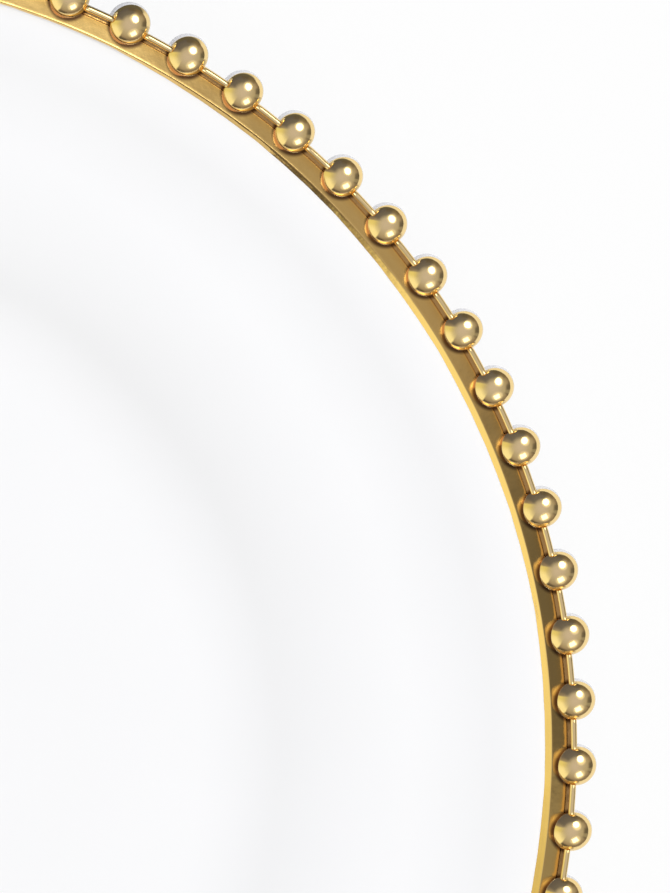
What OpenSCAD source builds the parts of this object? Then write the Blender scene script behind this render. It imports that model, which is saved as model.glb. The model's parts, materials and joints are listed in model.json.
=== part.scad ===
/* [Plate] */
// Diameter over the beads
plate_d = 330; // [260:1:400]
// Height of the crest of the gold band above the table
band_h = 16.3; // [15:0.1:20]
// Wall thickness of the moulded body
wall_t = 2.8; // [2:0.1:3.5]

/* [Well] */
// Radius of the flat floor of the well
floor_r = 91; // [80:0.5:110]
// Height of the floor above the table
floor_h = 5; // [4.5:0.1:7]

/* [Rim] */
// Share of the rim's width where the wall of the well turns from hollow to round
wall_turn_share = 0.23; // [0.1:0.01:0.3]
// Share of the rim's width where the level shelf lies
shelf_share = 0.61; // [0.45:0.01:0.65]
// Share of the rim's rise that lies below the shelf
shelf_rise_share = 0.68; // [0.6:0.01:0.95]
// Share of the rim's width where its outer slope turns from hollow to round
flare_turn_share = 0.85; // [0.7:0.01:0.9]

/* [Gold band] */
// Width of the gold from the foot of its step to the outer edge
band_w = 6; // [5:0.1:7]
// Height of the gold step on the inner side of the band
step_h = 1; // [0.7:0.1:2.5]
// Run of that step along the radius
step_run = 1.1; // [0.5:0.1:1.6]
// How far the band falls from its crest to the gutter inside the lip
gutter_d = 0.7; // [0.6:0.1:1.4]
// Width of the slope that climbs from the gutter to the lip
gutter_w = 0.6; // [0.4:0.1:0.8]
// How far the seat of the lip lies below the crest
lip_drop = 0.6; // [0.2:0.1:0.9]
// Thickness of the gold coat
coat_t = 0.25; // [0.15:0.05:0.4]
// Width of the rounded lip between the beads
lip_w = 1.2; // [0.8:0.1:1.4]
// Thickness of the body at its outer edge
edge_t = 2.2; // [1.6:0.1:2.4]
// Rounding under the outer edge
edge_round = 1.5; // [0.8:0.1:1.5]

/* [Beads] */
// Diameter of a bead
bead_d = 8; // [5:0.5:9]
// Clear space between neighbouring beads
bead_gap = 4.6; // [2:0.1:12]
// How far the bead's middle lies below the seat of the lip
bead_sink = 1.2; // [0.9:0.1:1.6]
// Height above the bead's middle where the gold stops on its outer side
cap_edge_h = 1.1; // [0.8:0.1:1.5]

/* [Foot ring] */
// How far the foot ring stands inside the edge of the floor
foot_inset = 2; // [1:0.5:20]
// Width of the flat that stands on the table
foot_w = 2.2; // [1.5:0.1:4]
// Rounding on both edges of that flat
foot_round = 0.6; // [0.3:0.1:0.8]
// Draft of the foot ring's two sides in degrees
foot_draft = 8; // [2:1:15]

/* [Hidden] */
// Room left between pieces that seat in each other
seat_gap = 0.05;
// How far a cut runs past what it cuts
overrun = 1;
// Steps in one arc of an outline
arc_steps = 8;

// The gold step climbs from the rim to the crest. The band falls from there to the gutter.
ring_r = (plate_d - bead_d) / 2;
step_foot_r = ring_r - band_w;
step_top_r = step_foot_r + step_run;
flare_h = band_h - step_h;
lip_in_r = ring_r - lip_w;
gutter_r = lip_in_r - gutter_w;
gutter_h = band_h - gutter_d;
lip_h = band_h - lip_drop;
skin = coat_t + seat_gap;
crest_h = band_h - skin;
land_h = lip_h - skin;

// The bead centres stand over the outer edge of the rim
bead_r = bead_d / 2;
bead_h = lip_h - bead_sink;
bead_count = round(2 * PI * ring_r / (bead_d + bead_gap));

// Places along the rim, between the floor of the well and the foot of the step
rim_w = step_foot_r - floor_r;
wall_turn_r = floor_r + rim_w * wall_turn_share;
shelf_r = floor_r + rim_w * shelf_share;
shelf_h = floor_h + (flare_h - floor_h) * shelf_rise_share;
flare_turn_r = floor_r + rim_w * flare_turn_share;

// The outline under the rim keeps the wall thickness under the step
body_step_r = step_foot_r + skin;
body_crest_r = body_step_r + step_run;
step_slope = atan((crest_h - flare_h) / step_run);
under_foot_r = body_step_r + wall_t * tan(step_slope / 2);
edge_low_h = land_h - edge_t;
under_top_r = body_step_r + (edge_low_h - flare_h) / tan(step_slope) + wall_t / sin(step_slope);

// The foot ring stands under the edge of the floor
foot_r = floor_r - foot_inset;
under_h = floor_h - wall_t;
foot_lean = under_h * tan(foot_draft);

// Points on a circle about c, from angle a0 to angle a1
function arc(c, r, a0, a1) =
    [for (i = [0:arc_steps]) let (a = a0 + (a1 - a0) * i / arc_steps) c + r * [cos(a), sin(a)]];

// An ogee from a level start to a level end: a hollow arc up to the radius turn_r and a round
// arc beyond it, tangent to each other. Drop moves it down along its own normal.
function ogee(start, turn_r, end, drop) =
    let (
        slope = 2 * atan((end.y - start.y) / (end.x - start.x)),
        hollow_r = (turn_r - start.x) / sin(slope),
        round_r = (end.x - turn_r) / sin(slope)
    )
    concat(
        arc([start.x, start.y + hollow_r], hollow_r + drop, -90, slope - 90),
        arc([end.x, end.y - round_r], round_r - drop, 90 + slope, 90)
    );

function reversed(list) = [for (i = [len(list) - 1:-1:0]) list[i]];

// The rim from the floor of the well to the foot of the gold step
function rim_line(drop) = concat(
    ogee([floor_r, floor_h], wall_turn_r, [shelf_r, shelf_h], drop),
    ogee([shelf_r, shelf_h], flare_turn_r, [step_foot_r, flare_h], drop)
);

// The foot ring, from its outer side round to its inner side
function foot_line() =
    let (out_r = foot_r - foot_round, in_r = foot_r - foot_w - foot_round)
    concat(
        [[foot_r + foot_lean, under_h]],
        arc([out_r, foot_round], foot_round, 0, -90),
        arc([in_r, foot_round], foot_round, -90, -180),
        [[in_r - foot_round - foot_lean, under_h]]
    );

// Half section of the moulded body
module body_section()
    polygon(concat(
        [[0, floor_h]],
        rim_line(0),
        [
            [body_step_r, flare_h],
            [body_crest_r, crest_h],
            [gutter_r, gutter_h - skin],
            [lip_in_r, land_h],
            [ring_r, land_h]
        ],
        arc([ring_r - edge_round, edge_low_h + edge_round], edge_round, 0, -90),
        [
            [under_top_r, edge_low_h],
            [under_foot_r, flare_h - wall_t]
        ],
        reversed(rim_line(wall_t)),
        foot_line(),
        [[0, under_h]]
    ));

// Section of the gold coat: up the step, down to the gutter and up to the lip
module band_section()
    polygon([
        [step_foot_r, flare_h + seat_gap],
        [step_top_r, band_h],
        [gutter_r, gutter_h],
        [lip_in_r - seat_gap, lip_h],
        [lip_in_r - seat_gap, lip_h - coat_t],
        [gutter_r, gutter_h - coat_t],
        [step_top_r + coat_t, band_h - coat_t],
        [step_foot_r + coat_t, flare_h + seat_gap]
    ]);

// Section of the lip: a half round on a flat seat
module lip_section() {
    translate([lip_in_r, lip_h - coat_t])
        square([lip_w, coat_t]);
    translate([lip_in_r + lip_w / 2, lip_h])
        intersection() {
            circle(d = lip_w, $fn = 32);
            translate([-lip_w / 2, 0])
                square([lip_w, lip_w]);
        }
}

// Section of the outer edge of the body, with seating room round it
module edge_room_section()
    polygon([
        [body_crest_r, crest_h + seat_gap],
        [gutter_r, gutter_h - skin + seat_gap],
        [lip_in_r, land_h + seat_gap],
        [ring_r + seat_gap, land_h + seat_gap],
        [ring_r + seat_gap, edge_low_h - seat_gap],
        [body_crest_r, edge_low_h - seat_gap]
    ]);

module revolved()
    rotate_extrude($fn = 240)
        children();

// Children set out on every bead's centre, their X pointing away from the plate
module at_beads()
    for (i = [0:bead_count - 1])
        rotate([0, 0, 360 * i / bead_count])
            translate([ring_r, 0, bead_h])
                children();

// The room that the beads take in what lies between them
module bead_room()
    at_beads()
        sphere(r = bead_r + seat_gap, $fn = 48);

// The room above the edge of a bead's cap
module capped_room(raise)
    translate([-bead_r - overrun, -bead_r - overrun, cap_edge_h + raise])
        cube([bead_d + 2 * overrun, bead_d + 2 * overrun, bead_r + overrun]);

// The white moulding: well, rim, raised land and foot ring
module plate_body()
    color("white")
        revolved() body_section();

// The gold coat on the step and the band, cut away where the beads stand
module rim_band()
    color("goldenrod")
        difference() {
            revolved() band_section();
            bead_room();
        }

// The rounded lip, one length between each pair of beads
module outer_lip()
    color("gold")
        difference() {
            revolved() lip_section();
            bead_room();
        }

// The white beads, notched over the edge of the body and cut back under the gold
module beads()
    color("whitesmoke")
        difference() {
            at_beads()
                difference() {
                    sphere(r = bead_r, $fn = 48);
                    difference() {
                        capped_room(0);
                        sphere(r = bead_r - skin, $fn = 48);
                    }
                }
            revolved() edge_room_section();
        }

// The gold caps on the beads: down to the cap's edge on the outer side, and through the band on
// the inner side
module bead_caps()
    color("gold")
        difference() {
            at_beads()
                intersection() {
                    difference() {
                        sphere(r = bead_r, $fn = 48);
                        sphere(r = bead_r - coat_t, $fn = 48);
                    }
                    capped_room(seat_gap);
                }
            revolved() edge_room_section();
        }

plate_body();
rim_band();
outer_lip();
beads();
bead_caps();
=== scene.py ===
# %% [markdown]
# A charger plate with a gold beaded rim.
# The real plate is one glossy white moulding about a third of a metre across. Eighty small balls
# stand round its edge, joined by short lengths of rounded lip, and a bright gold coat covers the
# balls from above, the lip and a narrow band inside them.
# The construction comes in as a fixed frame. Every piece made here stands in the place that the
# frame gives it, and only its surface is finer.

# %% Load the frame
import json
import math
import bpy
import numpy as np
from mathutils import Matrix, Vector

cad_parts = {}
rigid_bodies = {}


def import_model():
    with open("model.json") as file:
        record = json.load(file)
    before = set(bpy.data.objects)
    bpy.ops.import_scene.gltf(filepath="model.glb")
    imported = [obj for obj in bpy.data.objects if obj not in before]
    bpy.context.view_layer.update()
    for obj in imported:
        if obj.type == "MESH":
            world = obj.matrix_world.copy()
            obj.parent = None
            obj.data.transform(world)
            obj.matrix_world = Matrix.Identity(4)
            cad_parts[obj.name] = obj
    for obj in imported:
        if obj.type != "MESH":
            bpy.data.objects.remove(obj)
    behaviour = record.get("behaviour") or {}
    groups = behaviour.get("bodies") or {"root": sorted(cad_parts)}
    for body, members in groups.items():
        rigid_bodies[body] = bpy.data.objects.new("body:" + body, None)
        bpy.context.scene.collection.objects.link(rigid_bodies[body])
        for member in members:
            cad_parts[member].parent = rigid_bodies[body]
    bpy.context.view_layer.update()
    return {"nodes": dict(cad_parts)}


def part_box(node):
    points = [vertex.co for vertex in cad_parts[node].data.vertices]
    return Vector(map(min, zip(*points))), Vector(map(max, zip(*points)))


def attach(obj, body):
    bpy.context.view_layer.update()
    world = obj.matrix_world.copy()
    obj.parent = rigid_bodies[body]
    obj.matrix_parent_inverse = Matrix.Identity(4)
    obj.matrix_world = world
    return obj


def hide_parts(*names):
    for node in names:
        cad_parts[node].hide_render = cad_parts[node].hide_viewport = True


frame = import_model()
print("frame nodes:", sorted(frame["nodes"]))

# %% [markdown]
# Sizes first. The ring of beads, the height of the rim and the size of a bead are read back from
# the frame, so the looks can't drift away from the construction. The rest are the few driving
# sizes that a designer would give: where the floor of the well ends, how the wall rises, how wide
# the band is. Names that end in R are radii from the plate's axis, apart from a bead's own radius,
# and names that end in H are heights above the table.

# %% Sizes in metres
MM = 0.001
BEADS = 80
PITCH = 2 * math.pi / BEADS  # angle from one bead to the next

WALL = 2.8 * MM
FLOOR_R, FLOOR_H = 91 * MM, 5 * MM
WALL_TURN, SHELF, FLARE_TURN = 0.23, 0.61, 0.85  # shares of the rim's width
SHELF_RISE = 0.68  # share of the rim's rise that lies below the shelf
STEP_RISE, STEP_RUN = 1.0 * MM, 1.1 * MM
BAND_W = 6 * MM
GUTTER_DROP, GUTTER_W = 0.7 * MM, 0.6 * MM
LIP_DROP, LIP_W = 0.6 * MM, 1.2 * MM
EDGE_T, EDGE_ROUND, EDGE_BREAK = 2.2 * MM, 1.5 * MM, 0.2 * MM
FOOT_INSET, FOOT_W, FOOT_ROUND, FOOT_DRAFT = 2 * MM, 2.2 * MM, 0.6 * MM, 8
COAT, SEAT_GAP = 0.25 * MM, 0.05 * MM
SKIN = COAT + SEAT_GAP  # how far the body lies below the gold
CAP_EDGE = 1.1 * MM  # height above a bead's middle where its gold ends on the outer side
CROWN = 0.84  # height of a bead's dome as a share of a ball's

bead_top, cap_top, band_top = (Vector(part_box(node)[1]) for node in ("beads", "bead_caps", "rim_band"))
RING_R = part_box("plate_body")[1][0]
BEAD_R = bead_top.x - RING_R
BEAD_H = cap_top.z - BEAD_R
BAND_H = band_top.z

STEP_FOOT_R = RING_R - BAND_W
STEP_TOP_R = STEP_FOOT_R + STEP_RUN
FLARE_H = BAND_H - STEP_RISE
LIP_IN_R, LIP_H = RING_R - LIP_W, BAND_H - LIP_DROP
GUTTER_R, GUTTER_H = LIP_IN_R - GUTTER_W, BAND_H - GUTTER_DROP
print("ring radius %.2f, bead radius %.2f, bead height %.2f, crest %.2f mm"
      % (RING_R / MM, BEAD_R / MM, BEAD_H / MM, BAND_H / MM))

# %% [markdown]
# The camera. The photograph looks almost straight down on a quarter of the rim through a long
# lens. Evenly spaced beads fall where the photograph has them from one direction only, and that
# direction, with the distance it needs, is written here.

# %% Camera
AIM = Vector((113.38, 62.57, 16.0)) * MM
CAMERA_DISTANCE = 3.724
CAMERA_AZIMUTH, CAMERA_ELEVATION, CAMERA_ROLL = (math.radians(a) for a in (129.91, 72.94, 140.13))
FOCAL_LENGTH = 806.3
FAR_CLIP = 20


def direction(azimuth, elevation):
    """Unit vector of a compass angle and a height above the table, both in radians."""
    return Vector((math.cos(elevation) * math.cos(azimuth),
                   math.cos(elevation) * math.sin(azimuth), math.sin(elevation)))


away = direction(CAMERA_AZIMUTH, CAMERA_ELEVATION)
level = Vector((0, 0, 1)).cross(away).normalized()
right = math.cos(CAMERA_ROLL) * level + math.sin(CAMERA_ROLL) * away.cross(level)
camera = bpy.data.objects.new("camera", bpy.data.cameras.new("camera"))
bpy.context.collection.objects.link(camera)
camera.data.lens = FOCAL_LENGTH
camera.data.clip_end = FAR_CLIP
camera.matrix_world = Matrix.Translation(AIM + CAMERA_DISTANCE * away) @ Matrix(
    (right, away.cross(right), away)).transposed().to_4x4()
bpy.context.scene.camera = camera
bpy.context.scene.view_settings.view_transform = "Standard"
print("camera %.1f degrees off the plate's axis" % (90 - math.degrees(CAMERA_ELEVATION)))

# %% [markdown]
# Shaders are easier to read as sums than as boxes and wires. A Wire is one output of a node and
# knows plus, minus, times and divide. A Paint is a material, or the world, and adds any node with
# one call.

# %% Shader helpers
class Wire:
    """One output of a node, which can be added, multiplied and so on."""

    def __init__(self, paint, socket):
        self.paint, self.socket = paint, socket

    def __add__(self, other):
        return self.paint.math("ADD", self, other)

    def __radd__(self, other):
        return self.paint.math("ADD", other, self)

    def __sub__(self, other):
        return self.paint.math("SUBTRACT", self, other)

    def __rsub__(self, other):
        return self.paint.math("SUBTRACT", other, self)

    def __mul__(self, other):
        return self.paint.math("MULTIPLY", self, other)

    def __rmul__(self, other):
        return self.paint.math("MULTIPLY", other, self)

    def __truediv__(self, other):
        return self.paint.math("DIVIDE", self, other)

    def __pow__(self, other):
        return self.paint.math("POWER", self, other)

    def step(self, low, high):
        """Climbs smoothly from 0 at low to 1 at high."""
        return self.paint.node("ShaderNodeMapRange", {"interpolation_type": "SMOOTHSTEP"},
                               {"Value": self, "From Min": low, "From Max": high}, "Result")


class Paint:
    """The nodes of a new material, or of another tree that is given."""

    def __init__(self, name, tree=None):
        if tree is None:
            self.material = bpy.data.materials.new(name)
            self.material.use_nodes = True
            tree = self.material.node_tree
        self.tree = tree
        self.tree.nodes.clear()

    def node(self, kind, settings=None, sockets=None, output=0):
        """Adds a node, makes its settings, fills its sockets and returns one of its outputs."""
        made = self.tree.nodes.new(kind)
        for key, setting in (settings or {}).items():
            if key == "stops":
                ramp = made.color_ramp
                while len(ramp.elements) < len(setting):
                    ramp.elements.new(1.0)
                for element, (place, colour) in zip(ramp.elements, setting):
                    element.position, element.color = place, colour
            else:
                setattr(made, key, setting)
        for key, value in (sockets or {}).items():
            if isinstance(value, Wire):
                self.tree.links.new(value.socket, made.inputs[key])
            else:
                made.inputs[key].default_value = value
        return Wire(self, made.outputs[output]) if len(made.outputs) else None

    def math(self, operation, first, second=0.0):
        return self.node("ShaderNodeMath", {"operation": operation}, {0: first, 1: second})

    def mix(self, factor, first, second):
        """Colour that goes from first to second."""
        return self.node("ShaderNodeMix", {"data_type": "RGBA"}, {0: factor, 6: first, 7: second}, 2)

    def ray(self, kind):
        """1 for rays of one kind, such as Camera or Glossy, and 0 for all others."""
        return self.node("ShaderNodeLightPath", output="Is %s Ray" % kind)

    def place(self):
        """Where a point lies in the plate's own coordinates."""
        return self.node("ShaderNodeTexCoord", output="Object")

    def axes(self, vector, names="XYZ"):
        """A vector's numbers along the named axes."""
        return [self.node("ShaderNodeSeparateXYZ", None, {0: vector}, axis) for axis in names]

    def leaned(self, normal, push):
        """A normal with a push added to it, brought back to unit length."""
        pushed = self.node("ShaderNodeVectorMath", {"operation": "ADD"}, {0: normal, 1: push})
        return self.node("ShaderNodeVectorMath", {"operation": "NORMALIZE"}, {0: pushed})

    def noise(self, place, scale, detail=2.0):
        """Soft blotches between 0 and 1, scale of them to the metre."""
        return self.node("ShaderNodeTexNoise", None, {
            "Vector": place, "Scale": scale, "Detail": detail, "Roughness": 0.5}, "Fac")

    def bump(self, height, distance, normal=None):
        """Normal of a surface that a height from 0 to 1 raises by up to a distance."""
        sockets = {"Height": height, "Distance": distance, "Strength": 1.0}
        if normal is not None:
            sockets["Normal"] = normal
        return self.node("ShaderNodeBump", None, sockets, "Normal")

    def principled(self, **sockets):
        """The finished material, from the sockets of the Principled shader."""
        named = {key.replace("_", " "): value for key, value in sockets.items()}
        return self.finish(self.node("ShaderNodeBsdfPrincipled", None, named))

    def finish(self, shader):
        self.node("ShaderNodeOutputMaterial", None, {"Surface": shader})
        print("material:", self.material.name, len(self.tree.nodes), "nodes")
        return self.material


def grey(level):
    return (level, level, level, 1.0)

# %% [markdown]
# The table is plain and white. To the camera it glows at nearly full white, and the rest of it is
# matte, which keeps the plate's soft shadow. The gold mirrors the same white, but on the camera's
# side it meets a dim table, and that draws the thin dark edge of the beads there. The table lies
# a hair below the foot ring, so that the two never share one plane.

# %% Table
TABLE_HALF, TABLE_H = 2.5, -0.02 * MM
CAMERA_SIDE = (-0.5, 0.866)
SIDE_START, SIDE_END = 72 * MM, 105 * MM
PAPER, DIM_PAPER = grey(0.86), grey(0.12)
GLOW_SEEN, GLOW_MIRRORED = 0.85, 0.35


def table_white():
    paint = Paint("table white")
    x, y = paint.axes(paint.place(), "XY")
    glossy = paint.ray("Glossy")
    dim = (x * CAMERA_SIDE[0] + y * CAMERA_SIDE[1]).step(SIDE_START, SIDE_END)
    paper = paint.mix(dim * glossy, PAPER, DIM_PAPER)
    matte = paint.node("ShaderNodeBsdfDiffuse", None, {"Color": paper})
    glow = paint.node("ShaderNodeEmission", None, {"Color": grey(1.0), "Strength": 1.0})
    share = paint.ray("Camera") * GLOW_SEEN + glossy * (1.0 - dim) * GLOW_MIRRORED
    return paint.finish(paint.node("ShaderNodeMixShader", None, {0: share, 1: matte, 2: glow}))


corners = [(TABLE_HALF * i, TABLE_HALF * j, TABLE_H) for i, j in ((-1, -1), (1, -1), (1, 1), (-1, 1))]
table_mesh = bpy.data.meshes.new("table")
table_mesh.from_pydata(corners, [], [(0, 1, 2, 3)])
table = bpy.data.objects.new("table", table_mesh)
bpy.context.collection.objects.link(table)
table_mesh.materials.append(table_white())

# %% [markdown]
# Two softboxes stand over the plate, a round one above and a square one lower down, and each bead
# shows both of them. Their brightness is given as seen in a mirror, where 1 is white, and turned
# into the lamp's power.

# %% Softboxes
LIGHT_FOCUS = Vector((0.10, 0.07, 0.016))
UPPER_LAMP = dict(azimuth=49, elevation=54, distance=1.0, size=0.56, brightness=2.8, turn=45)
LOWER_LAMP = dict(azimuth=-68, elevation=42.5, distance=1.6, size=0.66, brightness=1.75, turn=8)


def softbox(name, shape, azimuth, elevation, distance, size, brightness, turn):
    """Soft lamp that faces the rim, at angles in degrees, turned about its own axis."""
    data = bpy.data.lights.new(name, "AREA")
    data.shape, data.size = shape, size
    area = size * size * (math.pi / 4 if shape == "DISK" else 1.0)
    data.energy = brightness * math.pi * area
    lamp = bpy.data.objects.new(name, data)
    bpy.context.collection.objects.link(lamp)
    outward = direction(math.radians(azimuth), math.radians(elevation))
    lamp.location = LIGHT_FOCUS + distance * outward
    lamp.rotation_euler = (outward.to_track_quat("Z", "Y").to_matrix()
                           @ Matrix.Rotation(math.radians(turn), 3, "Z")).to_euler()
    lamp.visible_camera = False
    print("%s: %.2f m across, %.2f W" % (name, size, data.energy))


softbox("upper softbox", "DISK", **UPPER_LAMP)
softbox("lower softbox", "SQUARE", **LOWER_LAMP)

# %% [markdown]
# Polished gold has no colour but what it mirrors, so the room matters as much as the coat. The
# room is painted on the world by direction: x, y and z say where a ray looks. Small helpers give
# soft edged masks by compass angle, by a plane and round one direction.

# %% Directions in the room
world = bpy.data.worlds.new("room")
bpy.context.scene.world = world
world.use_nodes = True
room = Paint("room", world.node_tree)
x, y, z = room.axes(room.node("ShaderNodeTexCoord", output="Generated"))
NEVER_ZERO = 1e-6
level_part = (x * x + y * y + NEVER_ZERO) ** 0.5


def facing(azimuth):
    """Cosine of the angle between the look's compass direction and an azimuth in degrees."""
    a = math.radians(azimuth)
    return (x * math.cos(a) + y * math.sin(a)) / level_part


def beyond(vector, low, high):
    """Climbs from 0 to 1 as the look's share along a vector goes from low to high."""
    return (x * vector[0] + y * vector[1] + z * vector[2]).step(low, high)


def near(azimuth, elevation, outer, inner):
    """1 within the inner angle of a direction and 0 beyond the outer one, in degrees."""
    return beyond(direction(math.radians(azimuth), math.radians(elevation)),
                  math.cos(math.radians(outer)), math.cos(math.radians(inner)))


def sector(azimuth, outer, inner):
    """The same by compass angle alone, at any height."""
    return facing(azimuth).step(math.cos(math.radians(outer)), math.cos(math.radians(inner)))


print("room:", len(world.node_tree.nodes), "nodes for the look's direction")

# %% [markdown]
# The room is a soft grey ceiling over darker walls. What a shiny surface mirrors is a little warm
# low down and cool overhead, while the light that falls on a matte one is plain grey at much the
# same levels. Dark patches stand round the plate like open doors and dim corners, because without
# them gold looks like plain yellow paint.

# %% Walls, ceiling and dark patches
glossy = room.ray("Glossy")
mirrored = room.node("ShaderNodeValToRGB", {"stops": [
    (0.0, (0.25, 0.22, 0.22, 1)), (0.17, (0.27, 0.24, 0.24, 1)), (0.34, (0.37, 0.34, 0.34, 1)),
    (0.50, (0.44, 0.42, 0.42, 1)), (0.77, (0.52, 0.52, 0.58, 1)), (0.87, (0.56, 0.56, 0.67, 1)),
    (1.0, (0.61, 0.61, 0.78, 1))]}, {0: z}, "Color")
plain = room.node("ShaderNodeValToRGB", {"stops": [
    (0.0, grey(0.26)), (0.17, grey(0.27)), (0.34, grey(0.36)), (0.64, grey(0.47)),
    (0.87, grey(0.57)), (1.0, grey(0.62))]}, {0: z}, "Color")
colour = room.mix(glossy, plain, mirrored)

# Each patch: azimuth, outer and inner half width in degrees, the heights between which it fades
# out upwards, its strength and its colour
DARK_PATCHES = (
    (108, 60, 32, 0.58, 0.93, 0.80, (0.09, 0.10, 0.17, 1)),
    (-12, 26, 8, 0.36, 0.62, 0.85, (0.12, 0.12, 0.13, 1)),
    (62, 36, 22, 0.30, 0.50, 0.50, (0.12, 0.10, 0.06, 1)),
    (-21, 8, 3, 0.70, 0.90, 0.50, grey(0.50)),
    (-112, 24, 8, 0.08, 0.28, 0.75, grey(0.06)))
for azimuth, outer, inner, fade_low, fade_high, strength, tone in DARK_PATCHES:
    patch = sector(azimuth, outer, inner) * (1.0 - z.step(fade_low, fade_high)) * strength
    colour = room.mix(patch, colour, tone)
print("room:", len(DARK_PATCHES), "dark patches")

# %% [markdown]
# One bright wall stands on the left, cut off by a plane on each side. It gives every bead its
# yellow window shape. The air round the two softboxes glows a little, which softens their edges
# in the gold. For matte surfaces the whole room is a little brighter, with a broad bright patch
# high up. The camera itself sees nothing of all this but white.

# %% Bright wall, halos and light
WALL_PLANES = (((-0.836, 0.488, -0.25), 0.05), ((-0.15, -0.96, 0.235), 0.06))
WALL_FADE = (0.25, 0.95)  # heights between which it fades out upwards
WALL_PLAIN, WALL_YELLOW, WALL_PALE = grey(0.60), (0.84, 0.82, 0.46, 1), (1.06, 1.08, 0.88, 1)
PALE_AZIMUTH, PALE_EDGE = -140, 0.74
# Azimuth, elevation, outer and inner angle in degrees, and the share that is mixed in
UPPER_HALO, UPPER_SHARE = (48, 55, 27, 14), 0.75
LOWER_HALO, LOWER_SHARE = (-68, 42.5, 27, 13), 0.6
HIGH_PATCH, HIGH_SHARE = (80, 52, 45, 10), 0.8
HALO_LEVEL, HIGH_LEVEL = grey(1.2), grey(1.6)
MATTE_EXTRA = 0.165

bright_wall = 1.0 - z.step(*WALL_FADE)
for plane, soft in WALL_PLANES:
    bright_wall = bright_wall * beyond(plane, -soft, soft)
wall_colour = room.mix(facing(PALE_AZIMUTH).step(PALE_EDGE, 1.0), WALL_YELLOW, WALL_PALE)
colour = room.mix(bright_wall, colour, room.mix(glossy, WALL_PLAIN, wall_colour))

halo = near(*UPPER_HALO) * UPPER_SHARE + near(*LOWER_HALO) * LOWER_SHARE
colour = room.mix(halo, colour, HALO_LEVEL)
seen = room.ray("Camera")
on_matte = (1.0 - glossy) * (1.0 - seen)
colour = room.mix(near(*HIGH_PATCH) * on_matte * HIGH_SHARE, colour, HIGH_LEVEL)
room.node("ShaderNodeOutputWorld", None, {"Surface": room.node("ShaderNodeBackground", None, {
    "Color": room.mix(seen, colour, grey(1.0)), "Strength": on_matte * MATTE_EXTRA + 1.0})})
print("room:", len(world.node_tree.nodes), "nodes in all")

# %% [markdown]
# The white moulding. It is acrylic, injected into a polished mould, so it is even in colour and
# glossy, with only a faint long-range waviness where the plastic shrank as it cooled. Noise makes
# both, as a bump for the waves and as a hint of cloud in the colour.

# %% White moulding
ACRYLIC_IOR = 1.49
SHRINK_WAVES = 0.6 * MM


def white_moulding():
    paint = Paint("white moulding")
    place = paint.place()
    cloud = paint.noise(place, 35.0)
    swell = paint.noise(place, 18.0, detail=1.0)
    return paint.principled(
        Base_Color=paint.mix(cloud, grey(0.915), (0.935, 0.935, 0.937, 1)),
        Roughness=0.22 + cloud * 0.06, IOR=ACRYLIC_IOR, Normal=paint.bump(swell, SHRINK_WAVES))


WHITE = white_moulding()

# %% [markdown]
# The gold coat on the beads and the lip. On the real plate a thin bright metal film lies under an
# amber lacquer, which gives the deep yellow. It follows the moulding, so it mirrors like the
# polished mould, with the slight orange peel of the lacquer.
# The flank of a bead that faces the plate runs out softly into the band. Faces for that corner
# would be smaller than anyone sees, so the shading does it: where a face looks inward and is
# steep, height is added to its normal. The gold is painted darker and browner there too, as
# painted shade in the corner where the bead meets the band.

# %% Gold coat
INWARD_FULL = 0.35  # share of the normal that points inward where a face counts fully as a flank
STEEP = 0.79  # faces whose normal rises less than this are lifted
LIFT = 0.9
# Rise of the normal where the painted corner shade starts and where it is full, and its share
SHADE_TOP, SHADE_FULL, CORNER_SHADE = 0.50, 0.10, 0.6
CORNER_SHADE_BROWN = (0.40, 0.29, 0.18, 1)


def gold_coat():
    paint = Paint("gold coat")
    place = paint.place()
    peel = paint.noise(place, 900.0)
    swell = paint.noise(place, 260.0, detail=1.0)
    haze = paint.noise(place, 420.0, detail=3.0)
    px, py = paint.axes(place, "XY")
    radius = (px * px + py * py) ** 0.5
    surface = paint.node("ShaderNodeNewGeometry", output="Normal")
    nx, ny, nz = paint.axes(surface)
    inward = ((nx * px + ny * py) / radius * -1.0).step(0.0, INWARD_FULL)
    rise = paint.math("MAXIMUM", STEEP - nz, 0.0)
    lift = paint.node("ShaderNodeCombineXYZ", None, {"Z": rise * inward * LIFT})
    # Painted shade: the steep, inward foot of each bead turns a darker brown
    corner_shade = inward * (1.0 - nz.step(SHADE_FULL, SHADE_TOP))
    clean = paint.mix(haze, (0.93, 0.68, 0.29, 1), (0.97, 0.73, 0.34, 1))
    wavy = paint.bump(swell, 0.08 * MM, paint.leaned(surface, lift))
    return paint.principled(
        Base_Color=paint.mix(corner_shade * CORNER_SHADE, clean, CORNER_SHADE_BROWN),
        Roughness=0.05 + haze * 0.09, Metallic=1.0, Normal=paint.bump(peel, 0.012 * MM, wavy))


GOLD = gold_coat()

# %% [markdown]
# The gold of the band. It is the same film, a little deeper in colour towards the gutter and pale
# in the gutter itself, as if the lacquer were thin there. A mirror shows a small change of slope
# long before the eye does, and on the real plate the band falls outward more than its outline
# lets on. So the slope stays plain and the normal is leaned outward by a share: a little on the
# step, more on the band, most in the gutter.
# A painted contact shadow, a dark brown line, runs round every bead on the band. It needs each
# point's distance from the nearest bead: the angle round the plate is counted in pitches, and the
# fraction left over says how far along the ring the point lies.

# %% Gold of the band
STEP_LEAN, BAND_LEAN, GUTTER_LEAN = 0.04, 0.32, 0.46
CONTACT_SHADE_START, CONTACT_SHADE_END = 4.0 * MM, 4.8 * MM  # from a bead's middle
CONTACT_SHADE_BROWN = (0.17, 0.085, 0.035, 1)
GUTTER_PALE = (0.80, 0.64, 0.40, 1)


def from_nearest_bead(paint, px, py, radius):
    """Distance in plan between a point and the middle of the nearest bead."""
    pitches = paint.math("ARCTAN2", py, px) * (BEADS / (2 * math.pi)) + 0.5 + BEADS
    along = (paint.math("FRACT", pitches) - 0.5) * (PITCH * RING_R)
    across = radius - RING_R
    return (along * along + across * across) ** 0.5


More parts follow.
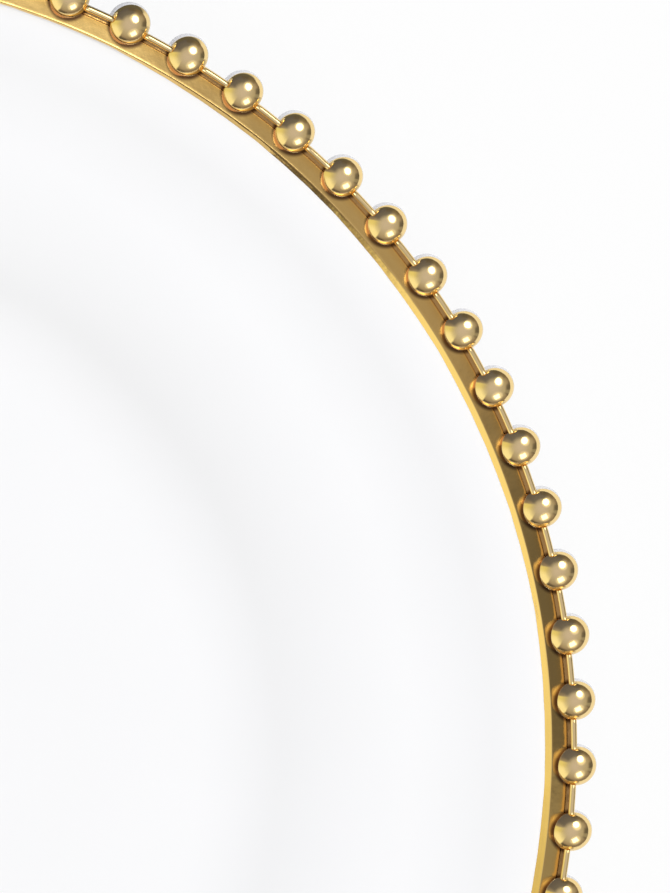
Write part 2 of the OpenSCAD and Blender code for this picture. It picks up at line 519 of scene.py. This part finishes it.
def gold_band_coat():
    paint = Paint("gold band coat")
    place = paint.place()
    px, py = paint.axes(place, "XY")
    radius = (px * px + py * py) ** 0.5
    cloud = paint.noise(place, 150.0, detail=3.0)
    swell = paint.noise(place, 120.0, detail=1.0)
    peel = paint.noise(place, 700.0, detail=3.0)

    deeper = radius.step(STEP_TOP_R + 1.1 * MM, GUTTER_R + 0.4 * MM) + cloud * 0.3 - 0.15
    colour = paint.mix(deeper, (0.93, 0.63, 0.22, 1), (0.93, 0.56, 0.15, 1))
    paler = radius.step(GUTTER_R - 0.4 * MM, GUTTER_R + 0.2 * MM) * 0.8
    colour = paint.mix(paler, colour, GUTTER_PALE)
    # Painted contact shadow: dark brown close to each bead, the band's own colour further out
    clear = from_nearest_bead(paint, px, py, radius).step(CONTACT_SHADE_START, CONTACT_SHADE_END)
    colour = paint.mix(clear, CONTACT_SHADE_BROWN, colour)

    on_band = radius.step(STEP_TOP_R - 0.12 * MM, STEP_TOP_R + 0.04 * MM)
    in_gutter = radius.step(GUTTER_R - 0.3 * MM, GUTTER_R - 0.1 * MM)
    lean = on_band * BAND_LEAN + in_gutter * GUTTER_LEAN + STEP_LEAN
    outward = paint.node("ShaderNodeCombineXYZ", None,
                         {"X": px / radius * lean, "Y": py / radius * lean})
    surface = paint.node("ShaderNodeNewGeometry", output="Normal")
    wavy = paint.bump(swell, 0.12 * MM, paint.leaned(surface, outward))
    return paint.principled(
        Base_Color=colour, Roughness=0.06 + cloud * 0.09, Metallic=1.0,
        Normal=paint.bump(peel, 0.02 * MM, wavy))


GOLD_BAND = gold_band_coat()

# %% [markdown]
# The bare moulding of the beads, where the gold spray didn't reach. It is the same acrylic as the
# body, unpolished there. Its colour is a cooler, greyer white than the body's, as painted shade
# for the shade of the rim, so it gets a material of its own.

# %% Bare moulding under the gold
def shaded_bare_moulding():
    paint = Paint("bare moulding")
    cloud = paint.noise(paint.place(), 300.0)
    return paint.principled(
        # Painted shade: a greyer, cooler white than the body's
        Base_Color=paint.mix(cloud, (0.80, 0.80, 0.83, 1), (0.87, 0.87, 0.89, 1)),
        Roughness=0.2 + cloud * 0.1, IOR=ACRYLIC_IOR)


SHADED_BARE = shaded_bare_moulding()

# %% [markdown]
# Round pieces are turned from a half section, as a potter's template or a lathe would do it. A
# section is a list of radius and height. One that starts or ends on the axis closes in a single
# point there.

# %% Turning a section
ON_AXIS = 1e-7


def arc(centre, radius, start, stop, steps):
    """Points on a circle, angles in degrees."""
    angles = [math.radians(start + (stop - start) * i / steps) for i in range(steps + 1)]
    return [(centre[0] + radius * math.cos(a), centre[1] + radius * math.sin(a)) for a in angles]


def make_object(name, vertices, faces, material, crease=35):
    """Object at the origin, smooth but for edges that turn by more than the crease."""
    mesh = bpy.data.meshes.new(name)
    mesh.from_pydata(vertices, [], faces)
    mesh.validate()
    mesh.materials.append(material)
    mesh.shade_smooth()
    mesh.set_sharp_from_angle(angle=math.radians(crease))
    piece = bpy.data.objects.new(name, mesh)
    bpy.context.collection.objects.link(piece)
    return piece


def turned(name, section, segments, material, moved=None):
    """Closed turned body. The section runs from the top round the outside to the underside."""
    rows, vertices, faces = [], [], []
    for index, (radius, height) in enumerate(section):
        if radius < ON_AXIS:
            rows.append([len(vertices)] * segments)
            vertices.append((0.0, 0.0, height))
            continue
        rows.append(list(range(len(vertices), len(vertices) + segments)))
        for s in range(segments):
            angle = 2 * math.pi * s / segments
            r, h = moved(index, radius, height, angle) if moved else (radius, height)
            vertices.append((r * math.cos(angle), r * math.sin(angle), h))
    closed = section[0][0] > ON_AXIS
    for i in range(len(rows) if closed else len(rows) - 1):
        upper, lower = rows[i], rows[(i + 1) % len(rows)]
        for s in range(segments):
            t = (s + 1) % segments
            ring = [upper[s], lower[s], lower[t], upper[t]]
            faces.append([v for k, v in enumerate(ring) if v != ring[k - 1]])
    return make_object(name, vertices, faces, material)

# %% [markdown]
# The body. The floor of the well is level, then the wall sweeps up in a hollow arc that turns
# round into a shelf, and a second, gentler sweep carries the rim up to the gold. Each sweep is an
# ogee, two arcs that meet without a corner. Underneath the same line runs a wall's thickness
# lower, and a narrow foot ring carries the plate.

# %% Line of the rim
rim_w = STEP_FOOT_R - FLOOR_R
shelf = (FLOOR_R + rim_w * SHELF, FLOOR_H + (FLARE_H - FLOOR_H) * SHELF_RISE)


def ogee(start, turn_r, end, drop, steps=16):
    """A hollow arc up to the radius turn_r and a round one beyond it, moved down by a drop."""
    slope = 2 * math.degrees(math.atan((end[1] - start[1]) / (end[0] - start[0])))
    hollow = (turn_r - start[0]) / math.sin(math.radians(slope))
    crown = (end[0] - turn_r) / math.sin(math.radians(slope))
    lower = arc((start[0], start[1] + hollow), hollow + drop, -90, slope - 90, steps)
    upper = arc((end[0], end[1] - crown), crown - drop, 90 + slope, 90, steps)
    return lower + upper[1:]


def rim_line(drop):
    wall = ogee((FLOOR_R, FLOOR_H), FLOOR_R + rim_w * WALL_TURN, shelf, drop)
    flare = ogee(shelf, FLOOR_R + rim_w * FLARE_TURN, (STEP_FOOT_R, FLARE_H), drop)
    return wall + flare[1:]


print("rim %.1f mm wide, shelf %.1f mm above the table" % (rim_w / MM, shelf[1] / MM))

# %% [markdown]
# The rest of the section follows the construction: under the gold the body stays a skin lower, so
# that the coat has its room, and the outer edge is rounded above and below. The flat parts get a
# few rings more than their shape needs, which keeps the faces near the axis from growing long.

# %% Plate body
BODY_SEGMENTS = 480
FLOOR_RINGS = (0.1, 0.3, 0.5, 0.7, 0.85, 0.95)
UNDER_RINGS = (0.8, 0.4)

body_step_r = STEP_FOOT_R + SKIN
crest_h, land_h = BAND_H - SKIN, LIP_H - SKIN
edge_low = land_h - EDGE_T
break_r = RING_R - EDGE_BREAK
step_slope = math.atan((crest_h - FLARE_H) / STEP_RUN)
under_foot_r = body_step_r + WALL * math.tan(step_slope / 2)
under_top_r = (body_step_r + (edge_low - FLARE_H) / math.tan(step_slope)
               + WALL / math.sin(step_slope))
under_h = FLOOR_H - WALL
foot_out = FLOOR_R - FOOT_INSET
foot_in = foot_out - FOOT_W - 2 * FOOT_ROUND
foot_lean = under_h * math.tan(math.radians(FOOT_DRAFT))

section = [(0.0, FLOOR_H)]
section += [(FLOOR_R * share, FLOOR_H) for share in FLOOR_RINGS]
section += rim_line(0.0)
section += [(body_step_r, FLARE_H), (body_step_r + STEP_RUN, crest_h),
            (GUTTER_R, GUTTER_H - SKIN), (LIP_IN_R, land_h), (break_r, land_h)]
section += arc((break_r, land_h - EDGE_BREAK), EDGE_BREAK, 75, 0, 5)
section += arc((RING_R - EDGE_ROUND, edge_low + EDGE_ROUND), EDGE_ROUND, 0, -90, 8)
section += [(under_top_r, edge_low), (under_foot_r, FLARE_H - WALL)]
section += rim_line(WALL)[::-1]
section += [(foot_out + foot_lean, under_h)]
section += arc((foot_out - FOOT_ROUND, FOOT_ROUND), FOOT_ROUND, 0, -90, 5)
section += arc((foot_in + FOOT_ROUND, FOOT_ROUND), FOOT_ROUND, -90, -180, 5)
section += [(foot_in - foot_lean, under_h)]
section += [(foot_in * share, under_h) for share in UNDER_RINGS]
section += [(0.0, under_h)]
body = turned("body", section, BODY_SEGMENTS, WHITE)
print("body:", len(section), "points in the section,", len(body.data.polygons), "faces")
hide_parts("plate_body")
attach(body, "root")

# %% [markdown]
# The gold band. The coat climbs a small step, turns over a crest and falls outward into a shallow
# gutter beside the lip. Crest and gutter are broken by small rounds, which catch thin lines of
# light. The inner edge of the coat is where the mask lay, and that line wanders a little: a sum of
# sine waves from long to short, and one place where the mask had slipped.

# %% Wandering edge of the coat
WAVE_COUNTS = (3, 5, 8, 13, 21, 34, 55, 89, 144)
# Size of a wave that fits nine times round the plate, and how fast sizes fall with the count
WAVE_SIZE, WAVE_COUNT_AT_SIZE, WAVE_FALL = 0.09 * MM, 9.0, 0.7
SLIP, SLIP_AT, SLIP_SPAN = 0.35 * MM, 78, 20  # its place and reach in degrees

rng = np.random.default_rng(7)
waves = []
for count in WAVE_COUNTS:
    size = WAVE_SIZE * (WAVE_COUNT_AT_SIZE / count) ** WAVE_FALL * rng.uniform(0.5, 1.0)
    waves.append((count, size, rng.uniform(0, 2 * math.pi)))


def wander(angle):
    """How far the edge of the coat strays outward at an angle round the plate."""
    slip = SLIP * math.exp(-((math.degrees(angle) - SLIP_AT) / SLIP_SPAN) ** 2)
    return slip + sum(size * math.sin(count * angle + start) for count, size, start in waves)


print("edge of the coat wanders between %.2f and %.2f mm" % tuple(
    pick(wander(math.radians(a)) for a in range(360)) / MM for pick in (min, max)))

# %% [markdown]
# The band's section is drawn as an open line along the top, whose corners are rounded one by one
# and whose straight stretches are cut into short pieces, and is closed a coat's thickness below.
# Only the rows at the foot of the step follow the wandering edge.

# %% Gold band
CREST_ROUND, GUTTER_ROUND = 0.08 * MM, 0.15 * MM
FOOT_GAP = 0.03 * MM
PIECE = 0.4 * MM
BAND_SEGMENTS = BEADS * 30


def rounded(points, corner, radius, steps):
    """Replaces one corner of an open line by an arc that is tangent to both its sides."""
    before, at, after = (Vector(points[corner + k]) for k in (-1, 0, 1))
    a, b = (before - at).normalized(), (after - at).normalized()
    half_angle = a.angle(b) / 2
    reach = radius / math.tan(half_angle)
    centre = at + (a + b).normalized() * radius / math.sin(half_angle)
    first, last = at + a * reach - centre, at + b * reach - centre
    turn = first.angle_signed(last)
    made = [centre + Matrix.Rotation(-turn * i / steps, 2) @ first for i in range(steps + 1)]
    return points[:corner] + [tuple(p) for p in made] + points[corner + 1:]


step_foot = (STEP_FOOT_R, FLARE_H + FOOT_GAP)
top_line = [step_foot, (STEP_TOP_R, BAND_H), (GUTTER_R, GUTTER_H), (LIP_IN_R, LIP_H)]
top_line = rounded(top_line, 2, GUTTER_ROUND, 4)
top_line = rounded(top_line, 1, CREST_ROUND, 3)
section = [top_line[0]]
for a, b in zip(top_line, top_line[1:]):
    pieces = max(1, round(math.dist(a, b) / PIECE))
    section += [(a[0] + (b[0] - a[0]) * k / pieces, a[1] + (b[1] - a[1]) * k / pieces)
                for k in range(1, pieces + 1)]
section += [(LIP_IN_R, LIP_H - COAT), (GUTTER_R, GUTTER_H - COAT),
            (STEP_TOP_R + COAT, BAND_H - COAT), (step_foot[0] + COAT, step_foot[1])]
# Rows of the section at the foot of the step, and how far each follows the wandering edge
FOLLOWS = {0: 1.0, 1: 0.7, 2: 0.35, len(section) - 1: 1.0}


def wandering_foot(index, radius, height, angle):
    return radius + wander(angle) * FOLLOWS.get(index, 0.0), height


band = turned("gold_band", section, BAND_SEGMENTS, GOLD_BAND, wandering_foot)
print("gold band:", len(band.data.polygons), "faces")
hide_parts("rim_band")
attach(band, "root")

# %% [markdown]
# Lip and beads repeat eighty times, so each is made once, at the place of the first one, and a
# small node tree copies it round the ring. The tree has named inputs: how many copies, how much
# each may slide along the ring, and how much its size may differ. It ends by making the copies
# real, because only real faces are handed on.

# %% Node tree for a ring of copies
def ring_tree():
    tree = bpy.data.node_groups.new("ring of copies", "GeometryNodeTree")
    plug = tree.interface.new_socket
    plug("Geometry", in_out="INPUT", socket_type="NodeSocketGeometry")
    for name, kind in (("Count", "Int"), ("Slide", "Float"), ("Size Variation", "Float"),
                       ("Centre", "Vector"), ("Seed", "Int"), ("Material", "Material")):
        plug(name, in_out="INPUT", socket_type="NodeSocket" + kind)
    plug("Geometry", in_out="OUTPUT", socket_type="NodeSocketGeometry")

    def add(kind, sockets=None, output=0, **settings):
        """Adds a node, makes its settings, fills its sockets and returns one of its outputs."""
        made = tree.nodes.new(kind)
        for key, value in settings.items():
            setattr(made, key, value)
        for key, value in (sockets or {}).items():
            if isinstance(value, bpy.types.NodeSocket):
                tree.links.new(value, made.inputs[key])
            else:
                made.inputs[key].default_value = value
        return made.outputs[output] if len(made.outputs) else None

    given = tree.nodes.new("NodeGroupInput").outputs
    index = add("GeometryNodeInputIndex")

    def chance(low, high):
        """A random number between two values, its own for every copy."""
        return add("FunctionNodeRandomValue", {2: low, 3: high, "ID": index, "Seed": given["Seed"]},
                   output=1, data_type="FLOAT")

    share = add("ShaderNodeMath", {0: index, 1: given["Count"]}, operation="DIVIDE")
    back = add("ShaderNodeMath", {0: given["Slide"], 1: -1.0}, operation="MULTIPLY")
    turn = add("ShaderNodeMath", {0: share, 1: 2 * math.pi, 2: chance(back, given["Slide"])},
               operation="MULTIPLY_ADD")
    smallest = add("ShaderNodeMath", {0: 1.0, 1: given["Size Variation"]}, operation="SUBTRACT")
    points = add("GeometryNodePoints", {"Count": given["Count"]})
    copies = add("GeometryNodeInstanceOnPoints", {
        "Points": points, "Instance": given["Geometry"],
        "Rotation": add("ShaderNodeCombineXYZ", {2: turn})})
    sized = add("GeometryNodeScaleInstances", {
        "Instances": copies, "Scale": chance(smallest, 1.0), "Center": given["Centre"],
        "Local Space": True})
    real = add("GeometryNodeRealizeInstances", {0: sized})
    add("NodeGroupOutput", {0: add("GeometryNodeSetMaterial", {
        "Geometry": real, "Material": given["Material"]})})
    return tree


RING = ring_tree()
print("ring of copies:", len(RING.nodes), "nodes")

# %% [markdown]
# A modifier runs the tree on one piece. Its inputs are set by their identifiers before anything
# asks for the result, and the result is taken as a plain mesh, so the modifier can go.

# %% Copying a piece round the plate
def ring_of(piece, seed, slide, variation, centre, material):
    """Copies one piece round the plate and leaves a plain mesh."""
    modifier = piece.modifiers.new("ring", "NODES")
    modifier.node_group = RING
    values = {"Count": BEADS, "Slide": slide, "Size Variation": variation, "Centre": centre,
              "Seed": seed, "Material": material}
    for item in RING.interface.items_tree:
        if item.in_out == "INPUT" and item.name in values:
            modifier[item.identifier] = values[item.name]
    ready = piece.evaluated_get(bpy.context.evaluated_depsgraph_get())
    mesh = bpy.data.meshes.new_from_object(ready)
    piece.modifiers.clear()
    single, piece.data = piece.data, mesh
    bpy.data.meshes.remove(single)
    mesh.name = piece.name
    print(piece.name + ":", len(mesh.polygons), "faces")
    return piece

# %% [markdown]
# The lip. Between two beads the edge of the plate is rolled into a small half round, and where it
# runs into a bead it swells a little, as plastic does in the corner of a mould. The lengths are
# all cut by one tool, so neither their places nor their sizes vary.

# %% Lip lengths
LIP_ROUND = LIP_W / 2
LIP_SUNK = 0.55 * MM  # how far a length runs into the bead at each end
LIP_SWELL, SWELL_START = 0.28, 0.72


def lip_length(steps=22, rows=12):
    reach = PITCH / 2 - (BEAD_R - LIP_SUNK) / RING_R
    vertices, faces = [], []
    for i in range(steps + 1):
        t = -1 + 2 * i / steps
        angle = PITCH / 2 + reach * t
        swell = 1 + LIP_SWELL * max(0.0, (abs(t) - SWELL_START) / (1 - SWELL_START)) ** 2
        for k in range(rows):
            a = math.pi * k / (rows - 1)
            r = LIP_IN_R + LIP_ROUND + LIP_ROUND * math.cos(a)
            h = LIP_H + LIP_ROUND * math.sin(a) * swell
            vertices.append((r * math.cos(angle), r * math.sin(angle), h))
        for r in (LIP_IN_R, RING_R):
            vertices.append((r * math.cos(angle), r * math.sin(angle), LIP_H - COAT))
    ring = rows + 2
    for i in range(steps):
        for k in range(ring):
            a, b = i * ring + k, i * ring + (k + 1) % ring
            faces.append((a, a + ring, b + ring, b))
    faces.append(tuple(range(ring)))
    faces.append(tuple(steps * ring + k for k in reversed(range(ring))))
    return make_object("lip", vertices, faces, GOLD)


lip = ring_of(lip_length(), seed=3, slide=0.0, variation=0.0, centre=(RING_R, 0, LIP_H),
              material=GOLD)
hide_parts("outer_lip")
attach(lip, "root")

# %% [markdown]
# The beads. Each is a ball moulded with the plate, its middle a little lower than the band and its
# crown a little flattened, so that it mirrors nearly the whole room. The gold covers it from above.
# On the inner side it runs down into the band through a tiny fillet, and on the outer side it
# stops above the ball's middle, where the spray no longer reached. The line where it ends is found
# by halving an interval, because the band it meets has three slopes.

# %% Where the gold ends on a bead
EDGE_BLEND = 0.6 * MM  # half the width over which the edge leaves the band for the cap's own line
POLAR_LOW, POLAR_HIGH = math.radians(40), math.radians(100)
HALVINGS = 40


def clamped(value):
    return min(1.0, max(0.0, value))


def band_height(radius):
    """Height of the gold band's surface at a radius."""
    if radius < GUTTER_R:
        fallen = max(0.0, (radius - STEP_TOP_R) / (GUTTER_R - STEP_TOP_R))
        return BAND_H - GUTTER_DROP * fallen
    return GUTTER_H + (LIP_H - GUTTER_H) * min(1.0, (radius - GUTTER_R) / GUTTER_W)


def lower_edge(angle):
    """Polar angle where the gold ends on a bead, at an angle round the bead's own axis."""
    low, high = POLAR_LOW, POLAR_HIGH
    for _ in range(HALVINGS):
        middle = (low + high) / 2
        out = BEAD_R * math.sin(middle)
        radius = math.hypot(RING_R + out * math.cos(angle), out * math.sin(angle))
        outside = clamped((radius - RING_R + EDGE_BLEND) / (2 * EDGE_BLEND))
        edge = band_height(radius) * (1 - outside) + (BEAD_H + CAP_EDGE) * outside
        if BEAD_H + CROWN * BEAD_R * math.cos(middle) > edge:
            low = middle
        else:
            high = middle
    return low


print("gold ends %.0f degrees from a bead's top on the outer side and %.0f on the inner"
      % (math.degrees(lower_edge(0.0)), math.degrees(lower_edge(math.pi))))

# %% [markdown]
# A cap and its core are both rings of points between two poles. The cap goes from its crown down
# the outside, round its edge and back up inside to a second pole, so it is a shell with a real
# thickness. The core goes from the bottom of the ball up to the line of the gold and steps in
# there, under the cap.

# %% Shells for a bead
FILLET = 0.05 * MM
BARE_GAP = 0.03 * MM
LAST_ROW = 0.965  # share of the way from a cap's crown to its edge
INNER_GAIN, INNER_START = 1.6, 0.1  # how fast the outer kind of edge turns into the inner kind
CORE_ROWS, CORE_STEP, UNDER_CAP = 9, 11.25, (45, 22)  # angles in degrees
# Stages of a cap's edge: out and up from the band in fillets, past the edge in radians, and how
# far the coat has sunk there
EDGE_STAGES = ((0.12, 0.62, 0.0, 0.01 * MM), (0.40, 0.24, 0.01, 0.06 * MM),
               (1.10, 0.00, 0.01, 0.14 * MM))


def on_bead(radius, polar, angle, tall=CROWN):
    """Point of the first bead, its height squeezed by a share."""
    return (RING_R + radius * math.sin(polar) * math.cos(angle),
            radius * math.sin(polar) * math.sin(angle), BEAD_H + tall * radius * math.cos(polar))


def shell(name, first, rows, last, material, from_below=False):
    """Closed shell from one pole through rows of points to the other pole."""
    columns = len(rows[0])
    vertices = [first] + [point for row in rows for point in row] + [last]
    starts = [1 + columns * i for i in range(len(rows))]
    faces = []
    for j in range(columns):
        k = (j + 1) % columns
        faces.append((0, starts[0] + j, starts[0] + k))
        faces += [(a + j, b + j, b + k, a + k) for a, b in zip(starts, starts[1:])]
        faces.append((starts[-1] + j, len(vertices) - 1, starts[-1] + k))
    if from_below:
        faces = [face[:1] + face[:0:-1] for face in faces]
    return make_object(name, vertices, faces, material, crease=60)


def bead_cap(columns=56, rows=11):
    """Shell of gold. Its edge is a fillet onto the band on the inner side and the coat's own
    rounded rim on the outer side, and blends from one to the other."""
    angles = [2 * math.pi * j / columns for j in range(columns)]
    ends = [(a, lower_edge(a)) for a in angles]

    def edge_point(angle, polar, out, up, past, sunk):
        inner = clamped(INNER_GAIN * -math.cos(angle) + INNER_START)
        foot = BEAD_R * math.sin(polar) + out * FILLET
        x, y = RING_R + foot * math.cos(angle), foot * math.sin(angle)
        seated = (x, y, band_height(math.hypot(x, y)) + up * FILLET)
        rim = on_bead(BEAD_R - sunk, polar + past, angle)
        return tuple(inner * p + (1 - inner) * q for p, q in zip(seated, rim))

    shares = [(k + 1) / rows for k in range(rows - 1)] + [LAST_ROW]
    levels = [[on_bead(BEAD_R, polar * share, a) for a, polar in ends] for share in shares]
    levels += [[edge_point(a, polar, *stage) for a, polar in ends] for stage in EDGE_STAGES]
    levels += [[on_bead(BEAD_R - COAT, polar * share, a) for a, polar in ends] for share in (1, 0.5)]
    return shell("bead_cap", on_bead(BEAD_R, 0, 0), levels, on_bead(BEAD_R - COAT, 0, 0), GOLD)


def bead_core(columns=48):
    """The ball itself, a hair smaller than the gold, and stepped in under the cap."""
    gold_line = math.degrees(math.acos(CAP_EDGE / (CROWN * BEAD_R)))
    bare, under = BEAD_R - BARE_GAP, BEAD_R - COAT - SEAT_GAP
    steps = [(180 - CORE_STEP * k, bare) for k in range(1, CORE_ROWS + 1)]
    steps += [(gold_line, bare)]
    steps += [(polar, under) for polar in (gold_line, *UNDER_CAP)]
    angles = [2 * math.pi * j / columns for j in range(columns)]
    levels = [[on_bead(r, math.radians(polar), a, CROWN if polar < 90 else 1.0) for a in angles]
              for polar, r in steps]
    return shell("bead_core", on_bead(bare, math.pi, 0, 1.0), levels, on_bead(under, 0, 0), SHADED_BARE,
                 from_below=True)

# %% [markdown]
# Caps and cores go round the plate with the same seed, so that each cap moves and shrinks with its
# own core. The amounts are those of a good mould: a twentieth of a millimetre along the ring and
# under one part in a hundred in size.

# %% Beads round the plate
BEAD_SEED = 11
BEAD_SLIDE = 0.0003  # angle round the plate
BEAD_VARIATION = 0.008

for single, node, slot, material in ((bead_cap(), "bead_caps", "gold", GOLD),
                                     (bead_core(), "beads", "bead_base", SHADED_BARE)):
    ring = ring_of(single, BEAD_SEED, BEAD_SLIDE, BEAD_VARIATION, (RING_R, 0, BEAD_H), material)
    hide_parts(node)
    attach(ring, "root")
